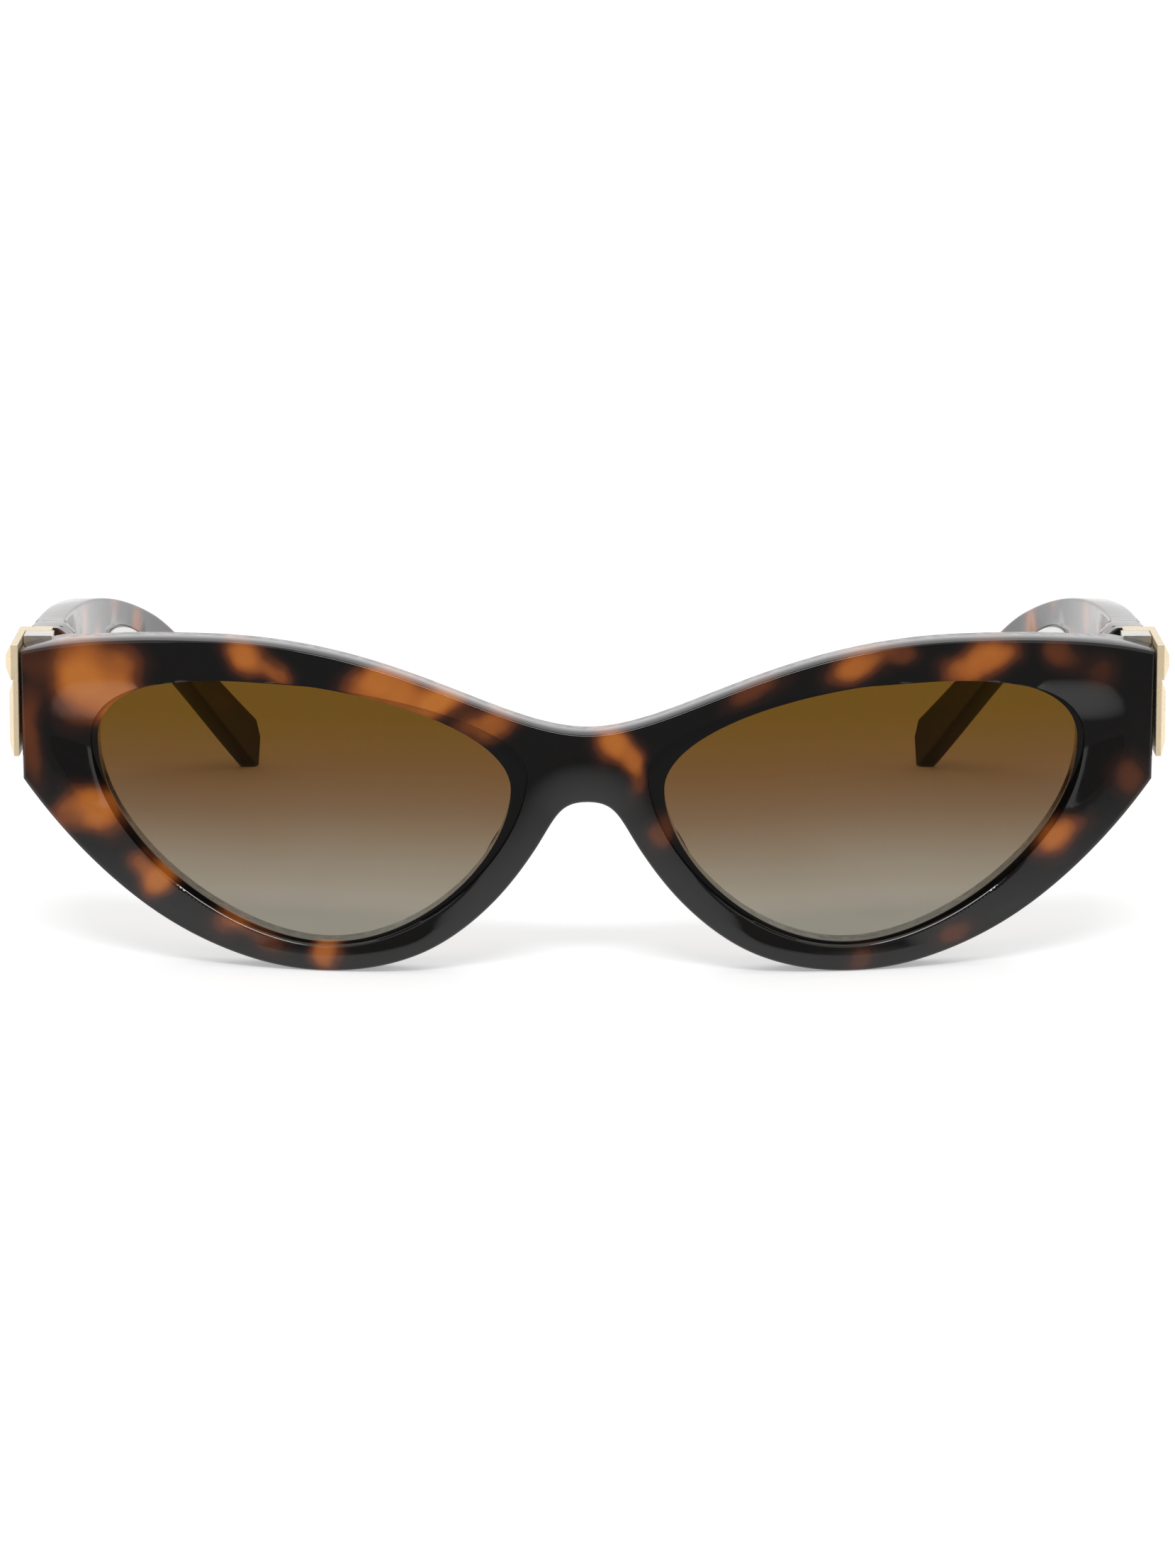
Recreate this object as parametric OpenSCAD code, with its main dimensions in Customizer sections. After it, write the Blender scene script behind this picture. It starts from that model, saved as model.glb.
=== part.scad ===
// Cat eye sunglasses with a bent acetate front, two folding temples and metal hinges.
// X runs across the face, the temples point to +Y, +Z is up and the rims rest on z = 0.
// Every right-hand piece (the wearer's right, -X) is the mirror of a left-hand piece.

/* [Front] */
// Half width of the front at its end pieces
half_w = 70.6; // [69:0.2:72]
// Height of the front at the crest of each brow
crest_z = 41; // [40:0.5:42]
// Height of the bridge's upper edge
bridge_top_z = 30.3; // [30:0.1:31]
// Height of the arch above the nose
nose_arch_z = 21.5; // [20.5:0.5:22.5]
// Radius of the face curve, seen from above
wrap_r = 190; // [180:5:200]
// Thickness of the acetate front
front_t = 6.4; // [6:0.1:6.8]

/* [Lenses] */
// Distance from the middle to the nose side of a lens opening
lens_in = 9.45; // [9.2:0.05:10]
// Distance from the middle to the outer end of a lens opening
lens_out = 60.9; // [60:0.1:61.5]
// Lowest point of a lens opening
lens_low = 3.6; // [3.4:0.1:4.6]
// Highest point of a lens opening
lens_high = 36.1; // [35:0.1:36.5]
// Thickness of a lens
lens_t = 2; // [1.8:0.1:2.2]
// Depth of the lens behind the front face
lens_inset = 2.2; // [2:0.1:2.4]
// How far the lens reaches into its groove
groove_d = 0.8; // [0.6:0.1:1]

/* [Temples] */
// Depth of the tips behind the middle of the front
tip_y = 147.4; // [144:0.2:150]
// Outer face of a temple, from the middle
temple_x = 70.8; // [70.4:0.1:71]
// Thickness of a temple near the hinge
temple_t = 3.8; // [3.4:0.1:4.2]
// Thickness of a temple at its tip
tip_t = 2.6; // [2.2:0.1:3]
// Radius of the inward curve of a temple, seen from above
bend_r = 247; // [240:1:260]
// Length of the oval inlay
inlay_len = 21; // [18:0.5:22]
// Height of the oval inlay
inlay_h = 4.4; // [3.5:0.1:4.6]

/* [Hinges] */
// Radius of a hinge knuckle
knuckle_r = 1.8; // [1.6:0.05:1.85]
// Radius of the hinge screw's shank
screw_r = 0.7; // [0.6:0.05:0.8]
// Running clearance round the hinge screw, on the radius
pin_gap = 0.05; // [0.03:0.01:0.08]
// Height of the metal corner bracket's top
bracket_top = 39.3; // [39:0.1:39.5]
// Height of the metal corner bracket's foot
bracket_low = 25.2; // [25:0.1:26]

/* [Hidden] */

$fn = 48;
smooth = 14;             // points on one stretch of an outline
eps = 0.02;              // clearance round an inlaid piece
past = 1;                // how far a cutter runs past a surface
far_in = 40;             // nearer the middle than any temple
shift_y = -tip_y / 2;    // puts the origin under the middle of the whole object
metal = "silver";
acetate = [0.2, 0.1, 0.06];

// The slab of the front, measured along the radius of its curve
back_r = wrap_r - front_t;
lens_front_r = wrap_r - lens_inset;
lens_back_r = lens_front_r - lens_t;
lens_play = 0.05;

// The outline of the front's left half: its upper edge, then its lower edge
foot_x = half_w - 0.2;
foot_z = 22.4;
upper_half = concat(
    cubic([half_w, 38.4], [64, 40.3], [56, crest_z], [46, crest_z]),
    cubic([46, crest_z], [23, crest_z], [11, bridge_top_z], [0, bridge_top_z]),
    [[0, bridge_top_z]]
);
lower_half = concat(
    cubic([0, nose_arch_z], [3.5, nose_arch_z], [3.9, 19.6], [6.4, 15.6], smooth / 2),
    cubic([6.4, 15.6], [10.5, 9.3], [17.7, 0], [32.9, 0]),
    cubic([32.9, 0], [48, 0], [61.8, 10.9], [foot_x, foot_z]),
    [[foot_x, foot_z]]
);
front_outline = concat(upper_half, mirrored(upper_half, 2), mirrored(lower_half, 1), lower_half);

// The wider step at the face of an opening: [nose, outer, low, high], and its depth
rim_step = [2.1, 0.9, 0.35, 0.15];
rim_step_d = 1.1;

// The thickened end piece, seen from above
end_back = 20.7;
end_plan = [[59, 15], [65.5, end_back], [half_w + 4, end_back], [half_w + 4, 17]];

// The two round ends and the middle of a nose pad, each with its radius
pad_balls = [[[9.4, 7.2, 16.4], 1.7], [[10.6, 8.4, 13.4], 2], [[13.4, 7.4, 9.6], 1.7]];

// The hinge: the joint plane, the axis and the knuckles' heights
joint_gap = 0.3;
joint_y = end_back + 4.2;
end_cap_y = joint_y + joint_gap;
axis_x = temple_x - 6.6;
axis_y = joint_y + 0.1;
knuckle_h = 1.8;
washer_t = 0.25;
washer_gap = 0.05;
knuckle_step = knuckle_h + washer_t + 2 * washer_gap;
hinge_z = 32.5;
lower_z = hinge_z - knuckle_h / 2 - knuckle_step;
middle_z = lower_z + knuckle_step;
upper_z = middle_z + knuckle_step;
hinge_top = upper_z + knuckle_h;
screw_head_r = 1.35;
screw_head_h = 0.6;
head_rise = 0.2;         // how far the screw's head stands above its knuckle
slot_w = 0.4;
slot_d = 0.3;

// The front leaf: a block behind the end piece and a tongue sunk in it, with two rivets
block_in = axis_x + 3;
block_out = half_w + 0.1;
tongue = [[62.9, 19], [69.4, end_back + 0.6]];
tongue_z = [28.6, 36.4];
rivet_r = 0.7;
rivet_x = 65.6;
rivet_heights = [30.4, 34.6];
rivet_tip = 16.8;
head_lip = 0.4;          // how far a rivet's head reaches past its shank
head_t = 0.3;            // thickness of a rivet's head

// The bracket: an outer leg beside the front, and a rear leg across the temple's end
leg_in = block_out + joint_gap;
leg_out = leg_in + 0.9;
ridge_out = leg_in + 1.3;
leg_front = 13.5;
rear_in = block_in + 0.4;
temple_y = end_cap_y + 3.1;
step_z = 34.8;           // above this height the outer leg is thicker
step_set = 0.25;

// The bracket's two tabs, sunk in the temple, and their screws
tab_x = [temple_x - 1.8, temple_x - 0.8];
tab_end = 34.5;
tab_h = 2.4;
tab_centre = [28.2, 36.8];
tab_screw_y = 31.2;
tab_screw_r = 0.5;
tab_head_r = 0.9;
tab_head_h = 0.7;

// The temple leaf, its rivets and the boss that holds them
leaf_in = temple_x - 6.1;
leaf_out = temple_x - 4.8;
leaf_end = 37;
leaf_z = [29.4, 35.6];
leaf_rivet_r = 0.6;
leaf_rivet_y = [30, 34.5];
leaf_rivet_end = temple_x - 3.2;
boss_in = temple_x - 5.9;
boss_z = [26.9, 38];
boss_plan = [
    [boss_in, temple_y], [boss_in, 33.5], [leaf_rivet_end, 41], [tab_x[0], 41], [tab_x[0], temple_y]
];

// The inward bend of a temple starts at one depth, and its taper at another
bend_start = 48;
taper_start = 60;

// The core wire, of square section
wire_w = 1.2;
wire_end = 134;

// The oval inlay on the inner face
inlay_y = 94;
inlay_z = 26.6;
inlay_tilt = -11;
inlay_t = 0.7;
inlay_proud = 0.1;

// ---- outlines ----

// Points of one cubic curve, without its last point
function cubic(a, b, c, d, n = smooth) = [
    for (i = [0 : n - 1])
        let (t = i / n, u = 1 - t)
        u * u * u * a + 3 * u * u * t * b + 3 * u * t * t * c + t * t * t * d
];

// The mirror of an outline in the opposite order. It leaves out the shared point at one end:
// the last point for skip = 2, and the first for skip = 1
function mirrored(points, skip) = [
    for (i = [len(points) - skip : -1 : 2 - skip]) [-points[i][0], points[i][1]]
];

// One lens opening, grown by [nose, outer, low, high] and drawn as four quadrants
function opening(g = [0, 0, 0, 0]) =
    let (
        nose = [lens_in - g[0], 23.2 + g[0]],
        outer = [lens_out + g[1], 27.8],
        low = [32.4, lens_low - g[2]],
        high = [44, lens_high + g[3]]
    )
    concat(
        quadrant(outer, high, 0.62, 0.67, true),
        quadrant(high, nose, 0.51, 0.54, false),
        quadrant(nose, low, 0.42, 0.53, true),
        quadrant(low, outer, 0.42, 0.5, false)
    );

// One quadrant between two extreme points; p and q say how full its two ends are
function quadrant(a, b, p, q, upright) = let (d = b - a)
    upright
        ? cubic(a, a + [0, p * d[1]], b - [q * d[0], 0], b)
        : cubic(a, a + [p * d[0], 0], b - [0, q * d[1]], b);

// The same growth all round
function even(g) = [g, g, g, g];

// Side view of a temple, as [y, z]
function temple_side() = concat(
    cubic([temple_y, 39.1], [56, 37.4], [84, 36.7], [108.4, 28.4]),
    cubic([108.4, 28.4], [116.4, 25.7], [126.2, 20.3], [tip_y - 1.2, 7]),
    [[tip_y - 1.2, 7], [tip_y, 4.2], [tip_y - 0.6, 0]],
    cubic([tip_y - 1.6, 0], [128, 13.6], [118, 20], [112, 21.4]),
    cubic([112, 21.4], [94, 25], [58, 24.2], [temple_y, bracket_low]),
    [[temple_y, bracket_low]]
);

// Side view of the core wire's path, halfway up the temple
function wire_path() = concat(
    cubic([temple_y, hinge_z], [60, 30.4], [90, 31], [112, 24]),
    cubic([112, 24], [118, 22], [126, 16.6], [wire_end, 11.2]),
    [[wire_end, 11.2]]
);

// A temple seen from above: its outer face, its thickness, its inner face and its middle
function outer_x(y) = y < bend_start
    ? temple_x
    : temple_x - bend_r + sqrt(bend_r * bend_r - pow(y - bend_start, 2));
function thick(y) = temple_t - (temple_t - tip_t) * max(0, y - taper_start) / (tip_y - taper_start);
function inner_x(y) = outer_x(y) - thick(y);
function middle_x(y) = outer_x(y) - thick(y) / 2;

// Evenly spaced depths, and the plan between two lists of x at those depths
function stations(from, to, n = 30) = [for (i = [0 : n]) from + (to - from) * i / n];
function plan_between(ys, inner, outer) = concat(
    [for (i = [0 : len(ys) - 1]) [inner[i], ys[i]]],
    [for (i = [len(ys) - 1 : -1 : 0]) [outer[i], ys[i]]]
);
function temple_plan() = let (ys = stations(temple_y, tip_y + past))
    plan_between(ys, [for (y = ys) inner_x(y)], [for (y = ys) outer_x(y)]);
function wire_plan(w, from, to) = let (ys = stations(from, to))
    plan_between(ys, [for (y = ys) middle_x(y) - w / 2], [for (y = ys) middle_x(y) + w / 2]);
function inner_band(from, to, lift, sink) = let (ys = stations(from, to))
    plan_between(ys, [for (y = ys) inner_x(y) - lift], [for (y = ys) inner_x(y) + sink]);

function ellipse(a, b, n = 40) = [for (i = [0 : n - 1]) [a * cos(360 * i / n), b * sin(360 * i / n)]];

// ---- helpers ----

// Puts a piece drawn for the left side on the left or the right
module side(s) { translate([0, shift_y, 0]) mirror([s < 0 ? 1 : 0, 0, 0]) children(); }

// Extrudes an [x, z] outline along Y
module along_y(points, from, to) {
    translate([0, to, 0]) rotate([90, 0, 0]) linear_extrude(to - from) polygon(points);
}

// Extrudes a [y, z] outline along X
module along_x(points, from, to) {
    translate([from, 0, 0]) rotate([90, 0, 90]) linear_extrude(to - from) polygon(points);
}

// Extrudes an [x, y] plan along Z
module along_z(points, from, to) { translate([0, 0, from]) linear_extrude(to - from) polygon(points); }

module box(lo, hi) { translate(lo) cube(hi - lo); }

module pin_x(r, x0, x1, y, z) { translate([x0, y, z]) rotate([0, 90, 0]) cylinder(r = r, h = x1 - x0); }
module pin_y(r, y0, y1, x, z) { translate([x, y0, z]) rotate([-90, 0, 0]) cylinder(r = r, h = y1 - y0); }
module pin_z(r, z0, z1) { translate([axis_x, axis_y, z0]) cylinder(r = r, h = z1 - z0); }

// A cylindrical wall that follows the face curve
module face_wall(r_out, r_in) {
    translate([0, wrap_r, -past])
        difference() {
            cylinder(r = r_out, h = crest_z + 2 * past, $fn = 180);
            translate([0, 0, -past]) cylinder(r = r_in, h = crest_z + 4 * past, $fn = 180);
        }
}

// ---- front ----

// Everything that is cut out of one half of the front
module half_cuts() {
    along_y(opening(), -past, end_back + past);
    intersection() {
        along_y(opening(even(groove_d)), -past, end_back);
        face_wall(lens_front_r, lens_back_r);
    }
    intersection() {
        along_y(opening(rim_step), -past, end_back);
        face_wall(wrap_r + 2 * past, wrap_r - rim_step_d);
    }
    box([tongue[0][0], tongue[0][1], tongue_z[0]], [tongue[1][0], end_back + past, tongue_z[1]]);
    for (z = rivet_heights) pin_y(rivet_r, rivet_tip, tongue[0][1] + past, rivet_x, z);
}

module front_frame() {
    color(acetate)
        translate([0, shift_y, 0])
        difference() {
            intersection() {
                along_y(front_outline, -past, end_back + past);
                union() {
                    face_wall(wrap_r, back_r);
                    for (s = [0, 1]) mirror([s, 0, 0]) along_z(end_plan, -past, crest_z + past);
                }
            }
            for (s = [0, 1]) mirror([s, 0, 0]) half_cuts();
        }
}

module lens(s) {
    color([0.45, 0.33, 0.15, 0.8])
        side(s)
        intersection() {
            along_y(opening(even(groove_d - lens_play)), -past, end_back);
            face_wall(lens_front_r - lens_play, lens_back_r + lens_play);
        }
}

// A soft-edged pad on the back of the rim beside the nose
module nose_pad(s) {
    color(acetate)
        side(s)
        intersection() {
            hull() for (ball = pad_balls) translate(ball[0]) sphere(r = ball[1], $fn = 32);
            translate([0, wrap_r, 0]) cylinder(r = back_r, h = crest_z, $fn = 180);
        }
}

// ---- hinge, front side ----

// A block behind the end piece, its tongue, and the upper and lower knuckles with their webs
module front_leaf(s) {
    web_back = joint_y - washer_gap;
    color(metal)
        side(s)
        difference() {
            union() {
                box([block_in, end_back, bracket_low], [block_out, joint_y, bracket_top]);
                box([tongue[0][0], tongue[0][1], tongue_z[0]], [tongue[1][0], tongue[1][1], tongue_z[1]]);
                for (z = [lower_z, upper_z]) {
                    pin_z(knuckle_r, z, z + knuckle_h);
                    box([axis_x, axis_y - knuckle_r, z], [block_in + past, web_back, z + knuckle_h]);
                }
            }
            pin_z(screw_r, lower_z - past, hinge_top + past);
            pin_z(screw_head_r, hinge_top - screw_head_h, hinge_top + past);
            for (z = rivet_heights) pin_y(rivet_r, rivet_tip, end_back + past, rivet_x, z);
        }
}

module leaf_rivets(s) {
    color(metal)
        side(s)
        for (z = rivet_heights) {
            pin_y(rivet_r, rivet_tip, tongue[1][1], rivet_x, z);
            pin_y(rivet_r + head_lip, tongue[1][1], tongue[1][1] + head_t, rivet_x, z);
        }
}

module hinge_washers(s) {
    foot = knuckle_h + washer_gap;
    color(metal)
        side(s)
        for (z = [lower_z, middle_z]) difference() {
            pin_z(knuckle_r - 2 * washer_gap, z + foot, z + foot + washer_t);
            pin_z(screw_r, z, z + 2 * foot);
        }
}

module hinge_screw(s) {
    head_top = hinge_top + head_rise;
    color(metal)
        side(s)
        difference() {
            union() {
                pin_z(screw_r, lower_z + head_rise, hinge_top - screw_head_h + eps / 2);
                pin_z(screw_head_r - washer_gap, hinge_top - screw_head_h, head_top);
            }
            box([axis_x - 2 * screw_head_r, axis_y - slot_w / 2, head_top - slot_d],
                [axis_x + 2 * screw_head_r, axis_y + slot_w / 2, head_top + past]);
        }
}

// ---- temple ----

module temple(s) {
    color(acetate)
        side(s)
        difference() {
            union() {
                intersection() {
                    along_x(temple_side(), far_in, temple_x + past);
                    along_z(temple_plan(), -past, crest_z + past);
                }
                along_z(boss_plan, boss_z[0], boss_z[1]);
            }
            box([leaf_in - past, temple_y - past, leaf_z[0] - eps],
                [leaf_out, leaf_end + eps, leaf_z[1] + eps]);
            for (z = tab_centre) {
                box([tab_x[0] - eps, temple_y - past, z - tab_h / 2 - eps],
                    [tab_x[1] + eps, tab_end + eps, z + tab_h / 2 + eps]);
                pin_x(tab_screw_r, boss_in - past, tab_x[0] + eps, tab_screw_y, z);
                pin_x(tab_head_r, boss_in - past, boss_in + tab_head_h, tab_screw_y, z);
            }
            for (y = leaf_rivet_y) pin_x(leaf_rivet_r, leaf_out - past, leaf_rivet_end, y, hinge_z);
            wire_solid(wire_w + 2 * eps, temple_y - past, wire_end + eps);
            inlay_solid(eps, past);
        }
}

// A square wire along the middle of the temple, or the channel that holds it
module wire_solid(w, from, to) {
    path = wire_path();
    upper = [for (p = concat([[from, hinge_z]], path)) p + [0, w / 2]];
    lower = [for (i = [len(path) - 1 : -1 : 0]) path[i] - [0, w / 2]];
    intersection() {
        along_x(concat(upper, lower, [[from, hinge_z - w / 2]]), far_in, temple_x);
        along_z(wire_plan(w, from, to), -past, crest_z + past);
    }
}

module core_wire(s) {
    color(metal) side(s) wire_solid(wire_w, temple_y, wire_end);
}

// An ellipse across the temple, cut to a thin plate that stands proud of the inner face
module inlay_solid(grow, proud) {
    intersection() {
        translate([far_in, inlay_y, inlay_z]) rotate([90, 0, 90]) rotate(inlay_tilt)
            linear_extrude(temple_x - far_in) polygon(ellipse(inlay_len / 2 + grow, inlay_h / 2 + grow));
        along_z(inner_band(inlay_y - inlay_len, inlay_y + inlay_len, proud, inlay_t + grow), 0, crest_z);
    }
}

module inlay(s) {
    color([0.85, 0.85, 0.83]) side(s) inlay_solid(0, inlay_proud);
}

// ---- hinge, temple side ----

// A plate sunk in the temple, its middle knuckle and the web between them
module temple_leaf(s) {
    plate_y = axis_y + knuckle_r + 0.7;
    color(metal)
        side(s)
        difference() {
            union() {
                box([leaf_in, plate_y, leaf_z[0]], [leaf_out, leaf_end, leaf_z[1]]);
                box([leaf_in, axis_y + joint_gap, middle_z],
                    [leaf_out, plate_y + joint_gap, middle_z + knuckle_h]);
                pin_z(knuckle_r, middle_z, middle_z + knuckle_h);
            }
            pin_z(screw_r + pin_gap, middle_z - past, middle_z + knuckle_h + past);
            for (y = leaf_rivet_y) pin_x(leaf_rivet_r, leaf_in - past, leaf_out + past, y, hinge_z);
        }
}

module temple_rivets(s) {
    color(metal)
        side(s)
        for (y = leaf_rivet_y) {
            pin_x(leaf_rivet_r, leaf_in, leaf_rivet_end, y, hinge_z);
            pin_x(leaf_rivet_r + head_lip, leaf_in - head_t, leaf_in, y, hinge_z);
        }
}

// The plan of the bracket: its outer face is set in by inset, and bulges between two depths
function bracket_plan(inset, bulge) = [
    [leg_in, leg_front], [leg_out - inset, leg_front],
    [ridge_out - inset, bulge[0]], [ridge_out - inset, bulge[1]],
    [leg_out - inset, temple_y], [rear_in, temple_y], [rear_in, end_cap_y], [leg_in, end_cap_y]
];

module hinge_bracket(s) {
    color([0.8, 0.72, 0.6])
        side(s)
        difference() {
            union() {
                along_z(bracket_plan(step_set, [17, 25]), bracket_low, step_z);
                along_z(bracket_plan(0, [18.5, 23]), step_z, bracket_top);
                for (z = tab_centre)
                    box([tab_x[0], temple_y - past, z - tab_h / 2], [tab_x[1], tab_end, z + tab_h / 2]);
            }
            for (z = tab_centre) pin_x(tab_screw_r, tab_x[0] - past, tab_x[1] + past, tab_screw_y, z);
        }
}

module bracket_screws(s) {
    color(metal)
        side(s)
        for (z = tab_centre) {
            pin_x(tab_screw_r, boss_in + tab_head_h - eps / 2, tab_x[1] - washer_gap, tab_screw_y, z);
            pin_x(tab_head_r - washer_gap, boss_in, boss_in + tab_head_h, tab_screw_y, z);
        }
}

front_frame();
lens(1);  // lens_left
lens(-1);  // lens_right
nose_pad(1);  // nose_pad_left
nose_pad(-1);  // nose_pad_right
front_leaf(1);  // front_leaf_left
front_leaf(-1);  // front_leaf_right
leaf_rivets(1);  // leaf_rivets_left
leaf_rivets(-1);  // leaf_rivets_right
hinge_washers(1);  // hinge_washers_left
hinge_washers(-1);  // hinge_washers_right
hinge_screw(1);  // hinge_screw_left
hinge_screw(-1);  // hinge_screw_right
temple(1);  // temple_left
temple(-1);  // temple_right
core_wire(1);  // core_wire_left
core_wire(-1);  // core_wire_right
temple_leaf(1);  // temple_leaf_left
temple_leaf(-1);  // temple_leaf_right
temple_rivets(1);  // temple_rivets_left
temple_rivets(-1);  // temple_rivets_right
hinge_bracket(1);  // hinge_bracket_left
hinge_bracket(-1);  // hinge_bracket_right
bracket_screws(1);  // bracket_screws_left
bracket_screws(-1);  // bracket_screws_right
inlay(1);  // inlay_left
inlay(-1);  // inlay_right
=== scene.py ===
import math

import bmesh
import bpy
import numpy as np
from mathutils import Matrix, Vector, kdtree
from mathutils.geometry import delaunay_2d_cdt


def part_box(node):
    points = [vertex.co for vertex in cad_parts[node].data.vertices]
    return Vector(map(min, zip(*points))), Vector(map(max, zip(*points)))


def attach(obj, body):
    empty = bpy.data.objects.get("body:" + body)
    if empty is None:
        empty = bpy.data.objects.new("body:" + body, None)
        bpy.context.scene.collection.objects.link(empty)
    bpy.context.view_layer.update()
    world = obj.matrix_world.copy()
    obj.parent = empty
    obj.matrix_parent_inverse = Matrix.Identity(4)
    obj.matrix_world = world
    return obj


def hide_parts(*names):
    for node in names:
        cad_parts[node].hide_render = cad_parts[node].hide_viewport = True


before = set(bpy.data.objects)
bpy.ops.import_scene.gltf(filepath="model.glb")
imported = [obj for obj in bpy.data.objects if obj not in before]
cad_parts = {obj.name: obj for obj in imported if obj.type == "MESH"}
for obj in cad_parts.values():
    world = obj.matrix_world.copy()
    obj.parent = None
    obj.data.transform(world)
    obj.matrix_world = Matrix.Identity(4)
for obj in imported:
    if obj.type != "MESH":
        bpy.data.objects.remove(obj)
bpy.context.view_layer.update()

# Cat eye sunglasses. Lengths are in millimetres from here on: x runs outward from the middle of the face,
# y runs back from the foremost point of the front, z runs up from the surface the glasses stand on.
# to_frame() turns them into the frame's metres.

MM = 0.001
APEX_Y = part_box("front_frame")[0].y / MM

# ---- sizes of the object, as in the CAD part ----

HALF_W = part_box("front_frame")[1].x / MM
CREST_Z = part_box("front_frame")[1].z / MM
TIP_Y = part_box("temple_left")[1].y / MM - APEX_Y
BRACKET_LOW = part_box("hinge_bracket_left")[0].z / MM
BRACKET_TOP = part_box("hinge_bracket_left")[1].z / MM
BRIDGE_TOP_Z = 30.3
NOSE_ARCH_Z = 21.5
WRAP_R = 190
FRONT_T = 6.4
BACK_R = WRAP_R - FRONT_T
END_BACK = 20.7
END_START = (59, 15)
END_SLOPE = 5.7 / 6.5
FRONT_ROUND = 0.32
LENS_IN = 9.45
LENS_OUT = 60.9
LENS_LOW = 3.6
LENS_HIGH = 36.1
LENS_T = 2
LENS_INSET = 2.2
GROOVE_D = 0.75
RIM_STEP = (2.1, 0.9, 0.35, 0.15)
TEMPLE_X = 70.8
TEMPLE_T = 3.8
TIP_T = 2.6
TEMPLE_Y = 28.3
TEMPLE_TOP = 39.1
TEMPLE_ROUND = 0.55
BEND_TOP = (108.4, 28.4)
BEND_LOW = (112, 21.4)
BEND_R = 247
BEND_START = 48
TAPER_START = 60
BOSS_IN = TEMPLE_X - 5.9
INLAY_Y = 94
INLAY_Z = 26.6
INLAY_TILT = math.radians(-11)
INLAY_LEN = 21
INLAY_H = 4.4


# ---- curves and regions, as arrays of 2D points ----

def cubic(a, b, c, d, step=0.5):
    """Points on one cubic curve, about step apart, without its last point."""
    a, b, c, d = (np.array(p, float) for p in (a, b, c, d))
    n = max(6, math.ceil(1.1 * np.linalg.norm(d - a) / step))
    t = np.arange(n)[:, None] / n
    u = 1 - t
    return u ** 3 * a + 3 * u * u * t * b + 3 * u * t * t * c + t ** 3 * d


def straight(a, b, step=0.5):
    a, b = np.array(a, float), np.array(b, float)
    n = max(2, math.ceil(np.linalg.norm(b - a) / step))
    return a + (b - a) * np.arange(n)[:, None] / n


def quadrant(a, b, p, q, upright, step):
    """One quarter of an opening between two extreme points; p and q say how full its ends are."""
    w, h = b[0] - a[0], b[1] - a[1]
    if upright:
        return cubic(a, (a[0], a[1] + p * h), (b[0] - q * w, b[1]), b, step)
    return cubic(a, (a[0] + p * w, a[1]), (b[0], b[1] - q * h), b, step)


def opening(nose=0, outer=0, low=0, high=0, step=0.5):
    """The left lens opening, grown on its four sides."""
    left = (LENS_IN - nose, 23.2 + nose)
    right = (LENS_OUT + outer, 27.8)
    bottom = (32.4, LENS_LOW - low)
    top = (44, LENS_HIGH + high)
    return np.concatenate([
        quadrant(right, top, 0.62, 0.67, True, step),
        quadrant(top, left, 0.51, 0.54, False, step),
        quadrant(left, bottom, 0.42, 0.53, True, step),
        quadrant(bottom, right, 0.42, 0.5, False, step),
    ])


def front_outline():
    """Front view of the front as (x, z), anticlockwise from its left upper corner."""
    corner, crest = (HALF_W, 38.4), (46, CREST_Z)
    nose_side, low_point, foot = (6.4, 15.6), (32.9, 0), (HALF_W - 0.2, 22.4)
    upper = np.concatenate([
        cubic(corner, (64, 40.3), (56, CREST_Z), crest),
        cubic(crest, (23, CREST_Z), (11, BRIDGE_TOP_Z), (0, BRIDGE_TOP_Z)),
    ])
    lower = np.concatenate([
        cubic((0, NOSE_ARCH_Z), (3.5, NOSE_ARCH_Z), (3.9, 19.6), nose_side),
        cubic(nose_side, (10.5, 9.3), (17.7, 0), low_point),
        cubic(low_point, (48, 0), (61.8, 10.9), foot),
        straight(foot, corner),
    ])
    flip = np.array([-1, 1])
    middle_top = np.array([[0, BRIDGE_TOP_Z]])
    return np.concatenate([upper, middle_top, upper[::-1] * flip, lower[:0:-1] * flip, lower])


def temple_side(step=0.8):
    """Side view of a temple as (y, z), anticlockwise."""
    under_end, low_end, tip, high_end = (TIP_Y - 1.6, 0), (TIP_Y - 0.6, 0), (TIP_Y, 4.2), (TIP_Y - 1.2, 7)
    back = np.concatenate([
        cubic((TEMPLE_Y, TEMPLE_TOP), (56, 37.4), (84, 36.7), BEND_TOP, step),
        cubic(BEND_TOP, (116.4, 25.7), (126.2, 20.3), high_end, step),
        straight(high_end, tip),
        straight(tip, low_end),
        straight(low_end, under_end),
        cubic(under_end, (128, 13.6), (118, 20), BEND_LOW, step),
        cubic(BEND_LOW, (94, 25), (58, 24.2), (TEMPLE_Y, BRACKET_LOW), step),
        straight((TEMPLE_Y, BRACKET_LOW), (TEMPLE_Y, TEMPLE_TOP), step),
    ])
    return back[::-1]


def ellipse(n=72):
    """The inlay's outline on a temple as (y, z)."""
    t = np.arange(n) * 2 * math.pi / n
    a, b = INLAY_LEN / 2 * np.cos(t), INLAY_H / 2 * np.sin(t)
    c, s = math.cos(INLAY_TILT), math.sin(INLAY_TILT)
    return np.stack([INLAY_Y + a * c - b * s, INLAY_Z + a * s + b * c], 1)


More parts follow.
